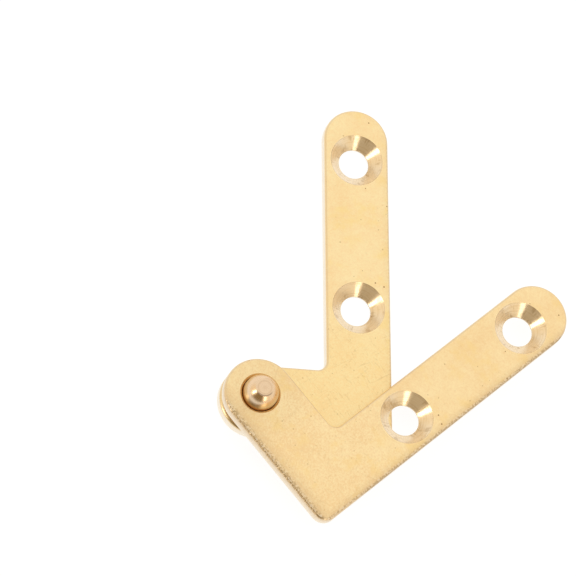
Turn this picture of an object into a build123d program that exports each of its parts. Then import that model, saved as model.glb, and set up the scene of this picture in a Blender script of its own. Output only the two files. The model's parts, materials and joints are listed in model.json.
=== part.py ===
from build123d import *
import os
from math import acos, degrees, radians, sin, tan

# Pivot hinge for a small cabinet door: two L-shaped brass leaves on one upright pin.
# The lower leaf is screwed down and carries the pin. The upper leaf drops over the pin,
# rests on a washer, swings round, and lifts off again. Both leaves have one outline.
# Frame: origin on the pin's axis at the underside of the lower leaf, +Z up the pin,
# +Y along the long arm of the lower leaf. Sizes are in millimetres, angles in degrees.

# Leaf plate
leaf_thickness = 2.0
arm_width = 10.0            # long arm, edge to edge
elbow_reach = 21.0          # pin axis to the outer edge of the long arm
tip_reach = 47.7            # pin axis to the end of the long arm
pivot_end_radius = 5.4      # round end about the pin, and half the width of the short arm
elbow_outer_radius = 2.0
elbow_inner_radius = 1.5
edge_rounding = 0.45        # rolled rim of the top face
underside_edge_break = 0.15 # rim of the underside, burr taken off

# Screw holes, on the centre line of the long arm
screw_hole_diameter = 4.7
countersink_diameter = 8.2
countersink_angle = 90.0
near_hole_reach = 15.7      # pin axis to the first hole, along the arm
tip_hole_inset = 8.2        # end of the arm to the second hole

# Pin, turned in one piece and riveted into the lower leaf
pin_diameter = 5.3
pin_rise = 2.7              # tip above the top face of the upper leaf
pin_flat_diameter = 2.7     # flat on the tip
pin_crown_radius = 3.3      # convex shoulder between the shank and the flat
pin_flat_rounding = 0.2     # rim of the flat
rivet_diameter = 4.0        # tail through the lower leaf
rivet_head_depth = 0.6      # tail spread into its seat, flush with the underside
rivet_seat_angle = 90.0

# Washer, fits and the way the hinge stands
washer_thickness = 1.0
washer_diameter = 9.0
washer_edge_break = 0.15
running_clearance = 0.1     # pin to the hole of each piece that turns on it, on the radius
pivot_mouth_chamfer = 0.3   # upper leaf's pivot hole, top face
pivot_mouth_angle = 90.0
opening_angle = 49.6        # between the long arms of the two leaves

# Worked out from the sizes above
pin_radius = pin_diameter / 2
pivot_hole_radius = pin_radius + running_clearance
pivot_mouth_radius = pivot_hole_radius + pivot_mouth_chamfer
rivet_radius = rivet_diameter / 2
rivet_head_radius = rivet_radius + rivet_head_depth * tan(radians(rivet_seat_angle / 2))
arm_centre = elbow_reach - arm_width / 2
arm_inner_edge = elbow_reach - arm_width
tip_centre = tip_reach - arm_width / 2
upper_leaf_base = leaf_thickness + washer_thickness
pin_top = upper_leaf_base + leaf_thickness + pin_rise


def corner_at(outline, place):
    return outline.vertices().sort_by_distance(place)[0]


def leaf_outline():
    # Once round: outer edge of the short arm, long arm and its round tip, inner edge, pivot end.
    with BuildSketch() as outline:
        with BuildLine():
            outer_edge = Line((0, -pivot_end_radius), (elbow_reach, -pivot_end_radius))
            arm_outside = Line(outer_edge @ 1, (elbow_reach, tip_centre))
            arm_tip = ThreePointArc(arm_outside @ 1, (arm_centre, tip_reach), (arm_inner_edge, tip_centre))
            arm_inside = Line(arm_tip @ 1, (arm_inner_edge, pivot_end_radius))
            inner_edge = Line(arm_inside @ 1, (0, pivot_end_radius))
            ThreePointArc(inner_edge @ 1, (-pivot_end_radius, 0), outer_edge @ 0)
        make_face()
        fillet(corner_at(outline, outer_edge @ 1), elbow_outer_radius)
        fillet(corner_at(outline, arm_inside @ 1), elbow_inner_radius)
    return outline.sketch


def screw_hole_places():
    near_hole = (arm_centre, near_hole_reach, leaf_thickness)
    tip_hole = (arm_centre, tip_reach - tip_hole_inset, leaf_thickness)
    return [near_hole, tip_hole]


def leaf_blank():
    # Plate with its underside on Z = 0, both rims eased and screw holes sunk from the top face.
    with BuildPart() as blank:
        extrude(leaf_outline(), amount=leaf_thickness)
        fillet(blank.faces().sort_by(Axis.Z)[-1].edges(), edge_rounding)
        chamfer(blank.faces().sort_by(Axis.Z)[0].edges(), underside_edge_break)
        with Locations(*screw_hole_places()):
            CounterSinkHole(screw_hole_diameter / 2, countersink_diameter / 2, leaf_thickness, countersink_angle)
    return blank.part


def lower_leaf():
    # The rivet's seat is sunk from the underside.
    with BuildPart() as leaf:
        add(leaf_blank())
        with Locations(Location((0, 0, 0), (180, 0, 0))):
            CounterSinkHole(rivet_radius, rivet_head_radius, leaf_thickness, rivet_seat_angle)
    return leaf.part


def upper_leaf():
    # The pivot hole's mouth is broken on the top face. The leaf lies on the washer, swung open.
    with BuildPart() as leaf:
        add(leaf_blank())
        with Locations((0, 0, leaf_thickness)):
            CounterSinkHole(pivot_hole_radius, pivot_mouth_radius, leaf_thickness, pivot_mouth_angle)
    return Pos(0, 0, upper_leaf_base) * Rot(0, 0, -opening_angle) * leaf.part


def pivot_pin():
    # Half section turned about the axis: rivet head, tail, shoulder, shank, crown and flat.
    crown_centre = pin_radius - pin_crown_radius
    crown_turn = degrees(acos((pin_flat_diameter / 2 - crown_centre) / pin_crown_radius))
    crown_base = pin_top - pin_crown_radius * sin(radians(crown_turn))
    with BuildPart() as pin:
        with BuildSketch(Plane.XZ) as profile:
            with BuildLine():
                stem = Polyline(
                    (0, 0),
                    (rivet_head_radius, 0),
                    (rivet_radius, rivet_head_depth),
                    (rivet_radius, leaf_thickness),
                    (pin_radius, leaf_thickness),
                    (pin_radius, crown_base),
                )
                crown = CenterArc((crown_centre, crown_base), pin_crown_radius, 0, crown_turn)
                Polyline(crown @ 1, (0, pin_top), stem @ 0)
            make_face()
            fillet(corner_at(profile, (pin_flat_diameter / 2, pin_top)), pin_flat_rounding)
        revolve(axis=Axis.Z)
    return pin.part


def spacer_washer():
    # Loose on the pin, between the leaves.
    with BuildPart() as washer:
        with Locations((0, 0, leaf_thickness)):
            Cylinder(washer_diameter / 2, washer_thickness, align=(Align.CENTER, Align.CENTER, Align.MIN))
            chamfer(washer.edges(), washer_edge_break)
        with Locations((0, 0, upper_leaf_base)):
            Hole(pivot_hole_radius, washer_thickness)
    return washer.part


pieces = {
    "lower_leaf": lower_leaf(),
    "pivot_pin": pivot_pin(),
    "spacer_washer": spacer_washer(),
    "upper_leaf": upper_leaf(),
}

os.makedirs("parts", exist_ok=True)
for name, piece in pieces.items():
    export_step(piece, f"parts/{name}.step")
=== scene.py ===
import json
from math import atan2, cos, pi, radians, sin
from types import SimpleNamespace

import bpy
import numpy as np
from mathutils import Matrix, Vector


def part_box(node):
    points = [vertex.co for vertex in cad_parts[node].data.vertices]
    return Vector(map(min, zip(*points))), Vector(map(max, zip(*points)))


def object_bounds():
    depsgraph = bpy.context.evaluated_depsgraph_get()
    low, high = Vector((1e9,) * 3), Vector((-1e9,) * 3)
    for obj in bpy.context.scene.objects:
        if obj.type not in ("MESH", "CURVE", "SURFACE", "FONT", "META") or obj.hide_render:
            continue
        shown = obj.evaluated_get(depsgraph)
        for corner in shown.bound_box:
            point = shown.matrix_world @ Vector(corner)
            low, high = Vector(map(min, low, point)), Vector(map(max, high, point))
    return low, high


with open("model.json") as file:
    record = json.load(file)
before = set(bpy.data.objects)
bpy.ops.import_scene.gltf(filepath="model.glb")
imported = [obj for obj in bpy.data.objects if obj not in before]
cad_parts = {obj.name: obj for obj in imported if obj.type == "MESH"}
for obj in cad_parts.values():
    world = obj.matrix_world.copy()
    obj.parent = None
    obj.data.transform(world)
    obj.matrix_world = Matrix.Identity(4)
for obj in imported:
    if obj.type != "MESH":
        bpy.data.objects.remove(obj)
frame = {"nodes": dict(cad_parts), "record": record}                      # the hinge at rest: nodes and record
cadLow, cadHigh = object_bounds()
print("hinge loaded:", ", ".join(sorted(frame["nodes"])))

mm = 0.001
scene = bpy.context.scene
mounts = {mount["name"]: mount for mount in frame["record"]["mounts"]}
lowerLow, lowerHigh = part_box("lower_leaf")
upperLow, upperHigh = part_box("upper_leaf")


def fromScreen(red, green, blue):
    # A colour as a picture editor names it, 0 to 255, turned into linear light.
    part = np.array([red, green, blue]) / 255
    linear = np.where(part <= 0.04045, part / 12.92, ((part + 0.055) / 1.055) ** 2.4)
    return tuple(float(value) for value in linear) + (1.0,)


class Wire:
    # An output socket that can be written in a sum: each operator adds its Math node.
    def __init__(self, bench, socket):
        self.bench = bench
        self.socket = socket

    def out(self, name):
        return Wire(self.bench, self.socket.node.outputs[name])

    def __add__(self, other):
        return self.bench.maths("ADD", self, other)

    def __sub__(self, other):
        return self.bench.maths("SUBTRACT", self, other)

    def __rsub__(self, other):
        return self.bench.maths("SUBTRACT", other, self)

    def __mul__(self, other):
        return self.bench.maths("MULTIPLY", self, other)

    __radd__ = __add__
    __rmul__ = __mul__


class Bench:
    # A node tree being wired up, for one finish or for the studio's light.
    def __init__(self, tree):
        self.tree = tree
        self.tree.nodes.clear()

    def add(self, kind, settings=None, inputs=None):
        # Settings go on first, then each input gets a value or a wire.
        node = self.tree.nodes.new(kind)
        for name, value in (settings or {}).items():
            setattr(node, name, value)
        for name, value in (inputs or {}).items():
            if isinstance(value, Wire):
                self.tree.links.new(value.socket, node.inputs[name])
            else:
                node.inputs[name].default_value = value
        shown = [socket for socket in node.outputs if socket.enabled]
        return Wire(self, shown[0]) if shown else None

    def maths(self, operation, first, second=0.0):
        return self.add("ShaderNodeMath", {"operation": operation}, {0: first, 1: second})

    def vectors(self, operation, first, second):
        return self.add("ShaderNodeVectorMath", {"operation": operation}, {0: first, 1: second})

    def rise(self, value, low, high):
        # 0 below low, 1 above high, and a soft rise between them.
        settings = {"interpolation_type": "SMOOTHSTEP"}
        return self.add("ShaderNodeMapRange", settings, {"Value": value, "From Min": low, "From Max": high})

    def fall(self, value, low, high):
        # The same turned over: 1 below low, 0 above high.
        return 1 - self.rise(value, low, high)

    def band(self, value, middle, near, far):
        # 1 within near of the middle, on either side, and 0 beyond far of it.
        return self.fall(self.maths("ABSOLUTE", value - middle), near, far)

    def blend(self, share, first, second):
        # Colours: the first where share is 0, the second where it is 1.
        return self.add("ShaderNodeMix", {"data_type": "RGBA"}, {0: share, 6: first, 7: second})

    def noise(self, place, scale, detail, roughness):
        inputs = {"Vector": place, "Scale": scale, "Detail": detail, "Roughness": roughness}
        return self.add("ShaderNodeTexNoise", None, inputs)

    def least(self, first, second):
        return self.maths("MINIMUM", first, second)

    def most(self, first, second):
        return self.maths("MAXIMUM", first, second)

    def length(self, across, along):
        return self.maths("SQRT", across * across + along * along)

    def bearing(self, across, along):
        return self.maths("ARCTAN2", along, across)

    def axes(self, place):
        parts = self.add("ShaderNodeSeparateXYZ", None, {0: place})
        return [parts.out(axis) for axis in "XYZ"]

    def join(self, x, y, z):
        return self.add("ShaderNodeCombineXYZ", None, {0: x, 1: y, 2: z})


# Camera: the photograph's view, from the pin's side of the hinge and nearly overhead
photoView = {
    "aim": Vector((5.584, 18.633, 0.0)) * mm,    # where its line of sight meets the floor
    "bearing": radians(34.865),                  # looks this far round from +Y, towards +X
    "elevation": radians(65.323),
    "distance": 542.4 * mm,
    "roll": radians(37.082),                     # turned to the left about its line of sight
    "lens": 226.1,
    "sensor": 36.0,
    "clipStart": 0.01,
    "clipEnd": 20.0,
}


def photoCamera():
    bearing, elevation, roll = (photoView[name] for name in ("bearing", "elevation", "roll"))
    ahead = Vector((sin(bearing) * cos(elevation), cos(bearing) * cos(elevation), -sin(elevation)))
    level = Vector((cos(bearing), -sin(bearing), 0.0))
    above = level.cross(ahead)
    right = level * cos(roll) + above * sin(roll)
    up = right.cross(ahead)
    data = bpy.data.cameras.new("photoCamera")
    data.lens = photoView["lens"]
    data.sensor_width = photoView["sensor"]
    data.clip_start = photoView["clipStart"]
    data.clip_end = photoView["clipEnd"]
    camera = bpy.data.objects.new("photoCamera", data)
    turned = Matrix((right, up, -ahead)).transposed().to_4x4()
    camera.matrix_world = Matrix.Translation(photoView["aim"] - ahead * photoView["distance"]) @ turned
    scene.collection.objects.link(camera)
    scene.camera = camera


photoCamera()
print("camera placed")


def startFinish(name):
    material = bpy.data.materials.new(name)
    material.use_nodes = True
    return material, Bench(material.node_tree)


def closeFinish(bench, inputs, relief):
    # Relief is how far the marks stand up from the surface, in mm
    bump = bench.add("ShaderNodeBump", None, {"Height": relief * mm, "Strength": 1.0, "Distance": 1.0})
    shader = bench.add("ShaderNodeBsdfPrincipled", None, {**inputs, "Normal": bump})
    bench.add("ShaderNodeOutputMaterial", None, {"Surface": shader})


def dress(node, material):
    slots = frame["nodes"][node].data.materials
    slots.clear()
    slots.append(material)


# Every noise below is given as its scale per mm, its detail and its roughness, and every
# range as the two values between which a mark comes in or fades

# Leaves: rolled brass sheet with eased rims, sheared sides and machined countersinks, with painted light on
# the sides and underside and painted shade on the rims
cabinetScrews, doorScrews = mounts["cabinet_screws"], mounts["door_screws"]
leafPlan = {
    # As the lower leaf lies, in mm: the pin at the origin, the short arm along +X to the
    # elbow, the long arm along +Y to its round tip
    "pivotEnd": -lowerLow.x / mm,
    "elbow": lowerHigh.x / mm,
    "armCentre": cabinetScrews["pos_m"][0] / mm,
    "holeMiddle": cabinetScrews["pos_m"][1] / mm,
    "holeHalf": cabinetScrews["dims"]["spacing_y_mm"] / 2,
    "seatEnd": (4.07, 4.13),           # from the screw hole's centre to its countersink's edge
    "mouthEnd": (3.02, 3.10),          # from the pin's axis to the broken rim of the pivot hole
    "pivotShadeEnd": (4.0, 9.0),       # from the pin's axis, where its darker surroundings fade
    "rimSlope": 1.8,                   # the elbow's edge counts as this much further off
    # Share of the surface's direction that points up: 1 on the face, 0 on the sides
    "flatTilt": (0.90, 0.99),
    "sideTilt": (0.10, 0.35),
    "rimTilt": (0.86, 0.99),
    "edgeTilt": (0.6, 0.95),
    "underTilt": (-0.6, -0.2),
}
leafFinish = {
    "pitColour": fromScreen(150, 104, 58),
    # Worn rims, darkened partly as painted shade
    "wornRimAndShade": fromScreen(206, 174, 130),
    "rimDirt": fromScreen(140, 110, 76),
    # Painted shade: the darker line along the rounded rims
    "rimLine": fromScreen(214, 192, 162),
    "rimShade": fromScreen(150, 124, 88),
    # Painted light: the underside's paler colour
    "underPaintedLight": fromScreen(248, 228, 194),
    "sideBrass": fromScreen(233, 212, 181),
    "sideFoot": fromScreen(245, 232, 210),
    # Painted reflection of the glowing table, for the sides
    "sidePaintedReflection": fromScreen(254, 246, 230),
    "seatBrass": fromScreen(255, 233, 196),
    "seatGroove": fromScreen(234, 204, 158),
    "chatterBrass": fromScreen(206, 176, 132),
    "mouthBrass": fromScreen(252, 208, 130),
    "faceRoughness": 0.30,
    "grainRoughness": 0.12,            # what the sheet's grain changes it by
    "wornRoughness": 0.1,
    "seatRoughness": 0.19,
    "ringRoughness": 0.08,
    "sideRoughness": 0.36,
    "seatSheen": 0.45,                 # share of the countersink's light that its fine marks scatter
    "mouthSheen": 0.85,
    "underLightShare": 0.7,                 # how far the underside's painted light, a paler colour, covers the sheet's marks
}
lowerTone = {
    "pale": fromScreen(255, 231, 176),
    "deep": fromScreen(251, 216, 158),
    "stain": fromScreen(252, 219, 146),
    "wearAndShade": 0.2,                       # strength of the wear and painted shade on the rims
    "elbowStain": 0.35,
    "scratches": 0.11,                 # near the elbow
    "sideReflectionShare": 0.55,                  # how far the sides are painted paler, a painted reflection of the glowing table
}
upperTone = {
    "pale": fromScreen(255, 228, 173),
    "deep": fromScreen(247, 211, 154),
    "stain": fromScreen(250, 214, 144),
    "wearAndShade": 0.8,
    "elbowStain": 0.0,
    "scratches": 0.05,
    "sideReflectionShare": 0.0,
}


def leafTurn(mount):
    # How far the leaf that carries this mount has to turn to lie as the lower leaf does
    lowerX, lowerY = cabinetScrews["pos_m"][:2]
    x, y = mount["pos_m"][:2]
    return atan2(lowerY, lowerX) - atan2(y, x)


def leafParts(bench, turn, base):
    # Where a point lies on the leaf, in mm, and what it is part of, from 0 to 1
    plan = leafPlan
    coordinates = bench.add("ShaderNodeTexCoord")
    at = SimpleNamespace()
    at.place = bench.add("ShaderNodeMapping", None, {
        "Vector": coordinates.out("Object"), "Scale": (1 / mm,) * 3,
        "Rotation": (0.0, 0.0, turn), "Location": (0.0, 0.0, -base / mm)})
    at.x, at.y, at.z = bench.axes(at.place)
    upwards = bench.axes(coordinates.out("Normal"))[2]
    tilt = bench.maths("ABSOLUTE", upwards)

    # Place about the nearer screw hole: the two holes are folded onto one
    at.seatX = at.x - plan["armCentre"]
    at.seatY = bench.maths("ABSOLUTE", at.y - plan["holeMiddle"]) - plan["holeHalf"]
    at.fromHole = bench.length(at.seatX, at.seatY)
    at.roundHole = bench.bearing(at.seatX, at.seatY)
    fromPivot = bench.length(at.x, at.y)

    at.under = bench.fall(upwards, *plan["underTilt"])
    at.seat = bench.fall(at.fromHole, *plan["seatEnd"]) * (1 - at.under)
    at.mouth = bench.fall(fromPivot, *plan["mouthEnd"]) * (1 - at.under)
    outside = 1 - bench.most(at.seat, at.mouth)
    at.flat = bench.rise(tilt, *plan["flatTilt"]) * outside
    at.side = bench.fall(tilt, *plan["sideTilt"]) * outside
    at.faceAndRim = (1 - at.side) * outside
    at.rimLine = bench.fall(tilt, *plan["rimTilt"]) * at.faceAndRim
    at.edge = bench.fall(tilt, *plan["edgeTilt"]) * at.faceAndRim
    at.nearPivot = bench.fall(fromPivot, *plan["pivotShadeEnd"])
    at.toElbow = plan["elbow"] - at.x
    at.toRim = bench.least(at.y + plan["pivotEnd"], at.toElbow * plan["rimSlope"])
    return at


# Marks of the rolled sheet: clouds, stains, mottling, specks, a few pits and hairlines
sheetMarks = {
    "cloud": (0.16, 2.0, 0.5),
    "cloudDepth": 1.4,                 # depths are shares of the way from pale to deep
    "mottle": (1.3, 2.0, 0.6),
    "mottleDepth": 1.1,
    "mottleRelief": 0.002,             # reliefs are in mm
    "grain": (3.6, 3.0, 0.7),
    "grainDepth": 1.8,
    "grainRelief": 0.0028,
    "stain": (0.28, 3.0, 0.6),
    "stainShift": (31.0, 7.0, 0.0),    # mm, so that the stains don't follow the clouds
    "stainRange": (0.50, 0.72),
    "stainShare": 0.7,
    "busyRange": (7.0, 18.0),          # mm up the long arm, where the elbow's extra marks fade
    "busyGrain": 1.4,
    "busySpecks": 0.12,
    "pivotShade": 0.05,
    "cellScale": 1.5,                  # one cell may hold one speck or pit
    "speckRadius": 0.07,
    "speckSpread": 0.13,
    "speckEdge": (-0.05, 0.04),
    "pitChance": (0.972, 0.975),
    "pitDepth": 0.9,
    "pitRelief": 0.012,
    "speckChance": (0.74, 0.78),
    "speckDepth": 0.10,
    "speckDepthSpread": 0.24,
    "hairAngles": (-0.8, 0.5, 2.1),    # radians
    "hairShift": 5.3,                  # mm from one direction's hairs to the next's
    "hairStretch": (2.6, 0.5, 1.0),
    "hair": (1.0, 1.0, 0.5),
    "hairWidth": (0.0, 0.03),
    "hairPatch": (0.9, 0.0, 0.5),
    "hairPatchRange": (0.54, 0.68),
    "hairDepth": 0.03,
}


def sheetFace(bench, at, tone):
    marks = sheetMarks
    cloud = bench.noise(at.place, *marks["cloud"])
    shifted = bench.vectors("ADD", at.place, marks["stainShift"])
    stain = bench.rise(bench.noise(shifted, *marks["stain"]), *marks["stainRange"])
    mottle = bench.noise(at.place, *marks["mottle"])
    grain = bench.noise(at.place, *marks["grain"])
    busy = bench.fall(at.y, *marks["busyRange"])
    deep = 0.5 + (cloud - 0.5) * marks["cloudDepth"] + (mottle - 0.5) * marks["mottleDepth"]
    deep = deep + (grain - 0.5) * (marks["grainDepth"] + busy * marks["busyGrain"])
    face = bench.blend(deep, tone["pale"], tone["deep"])
    stained = bench.most(stain * marks["stainShare"], busy * tone["elbowStain"])
    face = bench.blend(stained, face, tone["stain"])
    shade = 1 - at.nearPivot * marks["pivotShade"]
    face = bench.vectors("MULTIPLY", face, bench.join(shade, shade, shade))

    cell = bench.add("ShaderNodeTexVoronoi", None, {"Vector": at.place, "Scale": marks["cellScale"]})
    chance, size, depth = bench.axes(cell.out("Color"))
    radius = marks["speckRadius"] + size * marks["speckSpread"]
    speck = bench.rise(radius - cell.out("Distance"), *marks["speckEdge"])
    fewPits = bench.rise(chance, *marks["pitChance"]) * marks["pitDepth"]
    someSpecks = bench.rise(chance + busy * marks["busySpecks"], *marks["speckChance"])
    someSpecks = someSpecks * (marks["speckDepth"] + depth * marks["speckDepthSpread"])

    hair = 0.0
    for index, angle in enumerate(marks["hairAngles"]):
        along = bench.add("ShaderNodeMapping", {"vector_type": "TEXTURE"}, {
            "Vector": at.place, "Rotation": (0.0, 0.0, angle), "Scale": marks["hairStretch"],
            "Location": (marks["hairShift"] * index, 0.0, 0.0)})
        line = bench.band(bench.noise(along, *marks["hair"]), 0.5, *marks["hairWidth"])
        patch = bench.rise(bench.noise(along, *marks["hairPatch"]), *marks["hairPatchRange"])
        hair = line * patch + hair
    scratched = hair * (marks["hairDepth"] + busy * tone["scratches"])
    pitted = bench.most(speck * bench.most(fewPits, someSpecks), scratched)
    face = bench.blend(pitted, face, leafFinish["pitColour"])
    relief = grain * marks["grainRelief"] + mottle * marks["mottleRelief"] - pitted * marks["pitRelief"]
    return face, grain, relief * at.flat


# Wear on the outer edges, which rub against the mortise, with painted shade: the worn band is partly painted
# shade, darker painted-shade lines run along the rims, and bright specks are painted highlights
rimMarks = {
    "wornAndShaded": (3.0, 3.0, 0.75),
    "wornShadeSpread": 2.6,                 # mm that the worn band's border wanders
    "wornShadeRange": (0.0, 2.8),           # mm in from the rim
    "wornShadeShare": 0.5,
    "wornRelief": 0.015,
    "scuffRange": (0.5, 1.05),
    "nick": (3.2, 1.0, 0.6),
    "nickRelief": 0.07,
    "dirtRange": (0.48, 0.58),
    "dirtStart": (0.1, 0.45),
    "dirtShare": 0.5,
    "sparkleRange": (0.40, 0.48),
    "sparkleShare": 0.4,
    "lineShare": 0.45,
    "longEdge": (0.0, 0.5),            # mm in from the long arm's outer edge
    "longEdgeStart": (0.0, 4.0),       # mm along it
    "rollRange": (0.0, 1.1),           # mm inside the outer edges, where the face falls away
    "rollDrop": 0.04,                  # mm that it falls
}


def rimWearAndShade(bench, at, face, wearAndShade):
    marks, look = rimMarks, leafFinish
    wornShadeNoise = bench.noise(at.place, *marks["wornAndShaded"])
    wornAndShaded = bench.fall(at.toRim + (wornShadeNoise - 0.5) * marks["wornShadeSpread"], *marks["wornShadeRange"]) * wearAndShade
    scuffed = bench.fall(at.toRim, *marks["scuffRange"]) * at.faceAndRim * wearAndShade
    nicks = bench.noise(at.place, *marks["nick"])
    dirt = bench.rise(nicks, *marks["dirtRange"]) * scuffed * bench.rise(at.toRim, *marks["dirtStart"])
    sparkle = bench.fall(nicks, *marks["sparkleRange"]) * scuffed
    longEdge = bench.fall(at.toElbow, *marks["longEdge"]) * bench.rise(at.y, *marks["longEdgeStart"]) * wearAndShade
    # Painted shade: a darker line along every rounded rim
    face = bench.blend(at.rimLine * marks["lineShare"], face, look["rimLine"])
    # Painted shade: a dark line along the long arm's outer edge
    face = bench.blend(longEdge * at.edge, face, look["rimShade"])
    # The worn band: wear, darkened partly as painted shade
    face = bench.blend(wornAndShaded * marks["wornShadeShare"], face, look["wornRimAndShade"])
    face = bench.blend(dirt * marks["dirtShare"], face, look["rimDirt"])
    # Painted highlights: bright specks on the scuffed rims
    face = bench.blend(sparkle * marks["sparkleShare"], face, look["sideFoot"])
    roll = bench.fall(at.toRim, *marks["rollRange"]) * at.flat * wearAndShade
    relief = nicks * scuffed * marks["nickRelief"] - wornAndShaded * wornShadeNoise * at.flat * marks["wornRelief"]
    return face, wornAndShaded, relief - roll * marks["rollDrop"]


# Countersink: turned rings, and chatter marks that run down the cone
seatMarks = {
    "ringsPerMm": 7.0,
    "ringDrift": (0.9, 0.02),          # how the rings change round the hole, and from hole to hole
    "ring": (1.0, 2.0, 0.65),
    "ringRange": (0.45, 0.68),
    "ringShare": (0.1, 0.55),          # groove colour everywhere, and what a ring adds
    "ringRelief": 0.006,
    "lipRadius": 4.04,
    "lipWidth": (0.02, 0.12),
    "lipShare": 0.25,
    "chatter": (1.0, 1.0, 0.5),
    "chatterStretch": (0.8, 9.0, 0.05),    # down the cone, round it, and from hole to hole
    "chatterShift": 4.0,
    "chatterRange": (0.46, 0.58),
    "chatterShare": 0.6,
    "chatterRelief": 0.005,
    "scuff": (0.9, 1.0, 0.5),
    "scuffDrift": 0.05,
    "scuffRange": (0.52, 0.64),
}


def seatTurning(bench, at):
    marks, look = seatMarks, leafFinish
    around, across = marks["ringDrift"]
    ringPlace = bench.join(at.fromHole * marks["ringsPerMm"], at.roundHole * around, at.y * across)
    rings = bench.noise(ringPlace, *marks["ring"])
    down, around, across = marks["chatterStretch"]
    chatterPlace = bench.join(
        at.fromHole * down, at.roundHole * around, at.y * across + marks["chatterShift"])
    chatter = bench.noise(chatterPlace, *marks["chatter"])
    scuffPlace = bench.join(at.seatX, at.seatY, at.y * marks["scuffDrift"])
    scuff = bench.rise(bench.noise(scuffPlace, *marks["scuff"]), *marks["scuffRange"])
    lip = bench.band(at.fromHole, marks["lipRadius"], *marks["lipWidth"])
    least, more = marks["ringShare"]
    grooved = least + bench.rise(rings, *marks["ringRange"]) * more
    tone = bench.blend(grooved, look["seatBrass"], look["seatGroove"])
    chattered = bench.rise(chatter, *marks["chatterRange"]) * scuff * marks["chatterShare"]
    tone = bench.blend(bench.most(chattered, lip * marks["lipShare"]), tone, look["chatterBrass"])
    relief = rings * marks["ringRelief"] + chatter * scuff * marks["chatterRelief"]
    return tone, rings, relief * at.seat


# Sheared sides: faint upright streaks, with painted light: brighter at the foot where the light table shines
# in, and on the lower leaf paler all over, a painted reflection of the table
sideMarks = {
    "stretch": (3.0, 3.0, 0.35),
    "streak": (1.0, 3.0, 0.6),
    "footSpread": 1.2,                 # mm that the bright foot's border wanders
    "footRange": (0.3, 1.6),           # mm above the leaf's underside
    "relief": 0.01,
}


def sideStreaks(bench, at, tone):
    marks, look = sideMarks, leafFinish
    stretched = bench.vectors("MULTIPLY", at.place, marks["stretch"])
    streak = bench.noise(stretched, *marks["streak"])
    foot = bench.fall(at.z + (streak - 0.5) * marks["footSpread"], *marks["footRange"])
    side = bench.blend(foot, look["sideBrass"], look["sideFoot"])
    # Painted reflection: the sides turn paler by this share
    return bench.blend(tone["sideReflectionShare"], side, look["sidePaintedReflection"]), streak * marks["relief"] * at.side


def satinBrass(name, turn, base, tone):
    look = leafFinish
    material, bench = startFinish(name)
    at = leafParts(bench, turn, base)
    face, grain, faceRelief = sheetFace(bench, at, tone)
    face, wornAndShaded, rimRelief = rimWearAndShade(bench, at, face, tone["wearAndShade"])
    # Painted light: the underside is painted paler, so that it shows lighter where it is seen in the gap
    # between the leaves
    face = bench.blend(at.under * look["underLightShare"], face, look["underPaintedLight"])
    seat, rings, seatRelief = seatTurning(bench, at)
    side, sideRelief = sideStreaks(bench, at, tone)

    wall = bench.most(at.seat, at.mouth)
    colour = bench.blend(wall, face, bench.blend(at.mouth, seat, look["mouthBrass"]))
    colour = bench.blend(at.side, colour, side)
    faceRoughness = look["faceRoughness"] + (grain - 0.5) * look["grainRoughness"]
    faceRoughness = faceRoughness + wornAndShaded * look["wornRoughness"]
    wallRoughness = look["seatRoughness"] + (rings - 0.5) * look["ringRoughness"]
    roughness = faceRoughness * (1 - wall) + wallRoughness * wall
    roughness = roughness + at.side * (look["sideRoughness"] - look["faceRoughness"])
    metallic = 1 - at.seat * look["seatSheen"] - at.mouth * look["mouthSheen"]
    inputs = {"Base Color": colour, "Metallic": metallic, "Roughness": roughness}
    closeFinish(bench, inputs, faceRelief + rimRelief + seatRelief + sideRelief)
    return material


dress("lower_leaf", satinBrass("lowerLeafBrass", 0.0, lowerLow.z, lowerTone))
dress("upper_leaf", satinBrass("upperLeafBrass", leafTurn(doorScrews), upperLow.z, upperTone))
print("leaves finished")


# Pin and washer: lathe rings about the axis, duller low down where the leaf rubs, and painted shade at the
# pin's foot
upperTop = upperHigh.z / mm
turnedMarks = {
    "ringsPerMm": 9.0,
    "ringDrift": 0.2,
    "ring": (1.0, 3.0, 0.65),
    "ringShare": 0.4,
    "ringRelief": 0.004,
    "ringRoughness": 0.08,
    "cloud": (0.9, 2.0, 0.5),
    "cloudShare": 0.6,
    "rubbedRoughness": 0.1,
    "markWidth": (0.0, 0.2),           # mm either side of the tool mark
    "centreMark": (0.2, 0.45),
    "centreShare": 0.5,
    "markTop": (-0.05, -0.01),         # mm from the top, so that only the flat is marked
    "markShare": 0.35,
    "markRelief": 0.004,
    "dentShadeSpan": (0.35, 0.8),           # cosine of the angle from the dent's middle
    "dentShadeWidth": (0.0, 0.16),
    "dentShadeTop": (-0.15, -0.1),
    "dentShadeShare": 0.7,
    "dentRelief": 0.02,
    "dentShadeBearing": radians(-90),
}
pinFinish = {
    "pale": fromScreen(240, 210, 174),
    "deep": fromScreen(230, 197, 156),
    "rubbed": fromScreen(222, 208, 184),
    "rubbedEnd": (upperTop + 0.6, upperTop + 2.2),      # mm up the pin
    # Painted shade: darker, browner brass at the pin's foot, by the upper leaf's hole
    "shaded": fromScreen(218, 168, 102),
    "shadedEnd": (upperTop - 0.2, upperTop + 0.7),
    "top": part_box("pivot_pin")[1].z / mm,
    "markBrass": fromScreen(206, 166, 124),
    "markRadius": 1.0,                 # tool mark round the middle of the tip
    "dentShadeBrass": fromScreen(136, 104, 76),
    "dentShadeRadius": 1.27,                # painted shade: a dark arc along one side of the tip's rim, over a slight dent
    "roughness": 0.25,
}
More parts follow.
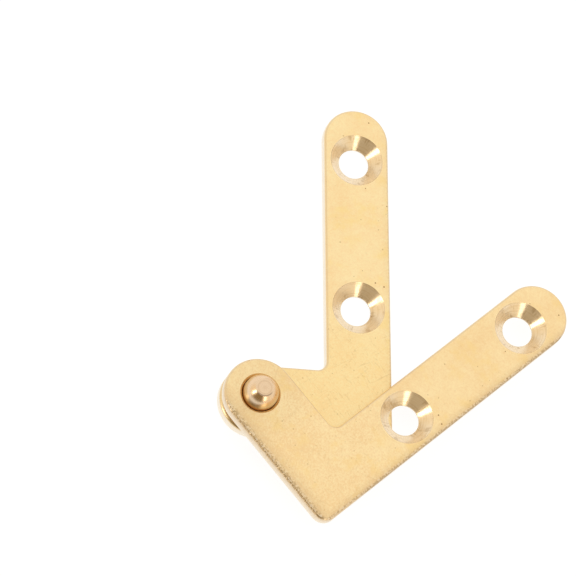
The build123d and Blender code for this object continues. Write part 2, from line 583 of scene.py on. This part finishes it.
washerFinish = {
    "pale": fromScreen(236, 202, 146),
    "deep": fromScreen(222, 184, 124),
    "rubbed": fromScreen(214, 178, 122),
    "rubbedEnd": (-1.6, 0.0),          # below the washer, so it shows neither of these two
    "shaded": fromScreen(214, 178, 122),
    "shadedEnd": (-0.9, 0.0),
    "top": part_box("spacer_washer")[1].z / mm,
    "markBrass": fromScreen(206, 168, 112),
    "markRadius": 3.6,
    "dentShadeBrass": fromScreen(206, 168, 112),
    "dentShadeRadius": 4.3,
    "roughness": 0.32,
}


def turnedBrass(name, look):
    marks = turnedMarks
    material, bench = startFinish(name)
    coordinates = bench.add("ShaderNodeTexCoord")
    place = bench.add("ShaderNodeMapping", None, {
        "Vector": coordinates.out("Object"), "Scale": (1 / mm,) * 3})
    x, y, z = bench.axes(place)
    fromAxis = bench.length(x, y)
    roundAxis = bench.bearing(x, y)
    ringPlace = bench.join(
        fromAxis * marks["ringsPerMm"], z * marks["ringsPerMm"], roundAxis * marks["ringDrift"])
    rings = bench.noise(ringPlace, *marks["ring"])
    cloud = bench.noise(place, *marks["cloud"])
    tone = bench.blend(cloud * marks["cloudShare"] + rings * marks["ringShare"], look["deep"], look["pale"])
    rubbed = bench.fall(z, *look["rubbedEnd"])
    tone = bench.blend(rubbed, tone, look["rubbed"])
    # Painted shade at the pin's foot
    tone = bench.blend(bench.fall(z, *look["shadedEnd"]), tone, look["shaded"])

    fromTop = z - look["top"]
    centre = bench.fall(fromAxis, *marks["centreMark"]) * marks["centreShare"]
    mark = bench.most(bench.band(fromAxis, look["markRadius"], *marks["markWidth"]), centre)
    mark = mark * bench.rise(fromTop, *marks["markTop"])
    tone = bench.blend(mark * marks["markShare"], tone, look["markBrass"])
    # Painted shade: a dark arc on one side of the tip's rim, over a slight dent in the relief
    dentAndShade = bench.rise(bench.maths("COSINE", roundAxis - marks["dentShadeBearing"]), *marks["dentShadeSpan"])
    dentAndShade = dentAndShade * bench.band(fromAxis, look["dentShadeRadius"], *marks["dentShadeWidth"])
    dentAndShade = dentAndShade * bench.rise(fromTop, *marks["dentShadeTop"])
    tone = bench.blend(dentAndShade * marks["dentShadeShare"], tone, look["dentShadeBrass"])

    roughness = look["roughness"] + (rings - 0.5) * marks["ringRoughness"] + rubbed * marks["rubbedRoughness"]
    relief = rings * marks["ringRelief"] - mark * marks["markRelief"] - dentAndShade * marks["dentRelief"]
    closeFinish(bench, {"Base Color": tone, "Metallic": 1.0, "Roughness": roughness}, relief)
    return material


dress("pivot_pin", turnedBrass("turnedPinBrass", pinFinish))
dress("spacer_washer", turnedBrass("washerBrass", washerFinish))
print("pin and washer finished")


# Studio: a glowing white table, a bright dome, dimmer on the camera's side, and two soft boxes
studio = {
    "cameraBearing": photoView["bearing"],      # the camera looks this way, and stands the other way
    "dome": 1.0,
    "dimLevel": 0.265,
    "dimColour": fromScreen(255, 222, 162),
    "dimMiddle": radians(5),           # to the camera's right
    "dimSpan": (radians(28), radians(39)),      # either side of that
    "dimTop": (radians(64), radians(78)),
    "frontColour": fromScreen(255, 241, 214),   # low down on the camera's side
    "frontStart": (-0.3, 0.4),         # share of the direction that points to that side
    "frontTop": (radians(25), radians(50)),
    "cameraHeight": photoView["elevation"],     # where its own dark body is
    "cameraSpan": (radians(16), radians(26)),
    "cameraLevel": 0.2,
    "floorSize": 3.0,
    "floorDrop": 0.05 * mm,            # below the leaf, so that the two don't share a plane
    "floorPaint": 0.2,
    "floorGlow": 0.88,
    "tableEnd": (0.07, 0.10),          # metres from the pin towards the camera, as the brass shows
    "beyondTable": 0.25,
}
white = (1.0, 1.0, 1.0, 1.0)


def whiteFloor():
    half, drop = studio["floorSize"] / 2, -studio["floorDrop"]
    mesh = bpy.data.meshes.new("floor")
    corners = [(-half, -half, drop), (half, -half, drop), (half, half, drop), (-half, half, drop)]
    mesh.from_pydata(corners, [], [(0, 1, 2, 3)])
    floor = bpy.data.objects.new("floor", mesh)
    scene.collection.objects.link(floor)
    material, bench = startFinish("floorWhite")
    x, y = bench.axes(bench.add("ShaderNodeTexCoord").out("Object"))[:2]
    towards = 0 - x * sin(studio["cameraBearing"]) - y * cos(studio["cameraBearing"])
    table = 1 - bench.rise(towards, *studio["tableEnd"]) * (1 - studio["beyondTable"])
    ray = bench.add("ShaderNodeLightPath")
    seen = ray.out("Is Camera Ray") + ray.out("Is Glossy Ray") * table + ray.out("Is Transmission Ray")
    paint = studio["floorPaint"]
    matt = bench.add("ShaderNodeBsdfDiffuse", None, {"Color": (paint, paint, paint, 1.0)})
    glow = bench.add("ShaderNodeEmission", None, {"Color": white, "Strength": seen * studio["floorGlow"]})
    both = bench.add("ShaderNodeAddShader", None, {0: matt, 1: glow})
    bench.add("ShaderNodeOutputMaterial", None, {"Surface": both})
    mesh.materials.append(material)


def studioWorld():
    world = bpy.data.worlds.new("studio")
    world.use_nodes = True
    scene.world = world
    bench = Bench(world.node_tree)
    way = bench.add("ShaderNodeTexCoord").out("Generated")
    # Turned so that +X points from the hinge to the camera's side and +Y to the camera's right
    turn = pi / 2 + studio["cameraBearing"]
    turned = bench.add("ShaderNodeMapping", {"vector_type": "POINT"}, {
        "Vector": way, "Rotation": (0.0, 0.0, turn)})
    x, y, z = bench.axes(turned)
    height = bench.maths("ARCSINE", z)
    dim = bench.band(bench.bearing(x, y), studio["dimMiddle"], *studio["dimSpan"])
    dim = dim * bench.fall(height, *studio["dimTop"])
    level = studio["dome"] * (1 - dim) + dim * studio["dimLevel"]
    cameraSide, cameraUp = cos(studio["cameraHeight"]), sin(studio["cameraHeight"])
    fromCamera = bench.maths("ARCCOSINE", x * cameraSide + z * cameraUp)
    body = bench.fall(fromCamera, *studio["cameraSpan"])
    level = level * (1 - body) + body * studio["cameraLevel"]
    front = bench.rise(x, *studio["frontStart"]) * bench.fall(height, *studio["frontTop"])

    # What the camera sees of it, straight or through the holes, is plain white
    ray = bench.add("ShaderNodeLightPath")
    direct = ray.out("Is Camera Ray") + ray.out("Is Transmission Ray")
    tint = bench.blend(front * (1 - direct), white, studio["frontColour"])
    tint = bench.blend(dim * (1 - direct), tint, studio["dimColour"])
    light = bench.add("ShaderNodeBackground", None, {
        "Color": tint, "Strength": level * (1 - direct) + direct})
    bench.add("ShaderNodeOutputWorld", None, {"Surface": light})


# Soft boxes: bearing is from the camera's, positive to its left; the right one is close by.
# Lengths are in metres
leftBox = {
    "bearing": radians(41),
    "elevation": radians(21),
    "distance": 0.5,
    "width": 0.128,
    "height": 0.22,
    "level": 3.3,
}
rightBox = {
    "bearing": radians(-47),
    "elevation": radians(19.5),
    "distance": 0.24,
    "width": 0.062,
    "height": 0.105,
    "level": 1.75,
}


def softBox(name, box):
    # The box faces the hinge
    bearing = studio["cameraBearing"] + pi + box["bearing"]
    elevation = box["elevation"]
    away = Vector((sin(bearing) * cos(elevation), cos(bearing) * cos(elevation), sin(elevation)))
    data = bpy.data.lights.new(name, "AREA")
    data.shape = "RECTANGLE"
    data.size = box["width"]
    data.size_y = box["height"]
    data.energy = box["level"] * pi * data.size * data.size_y
    lamp = bpy.data.objects.new(name, data)
    lamp.location = (cadLow + cadHigh) / 2 + away * box["distance"]
    lamp.rotation_euler = away.to_track_quat("Z", "Y").to_euler()
    lamp.visible_camera = False
    scene.collection.objects.link(lamp)


whiteFloor()
studioWorld()
softBox("leftSoftBox", leftBox)
softBox("rightSoftBox", rightBox)
scene.view_settings.view_transform = "Standard"
print("studio lit")
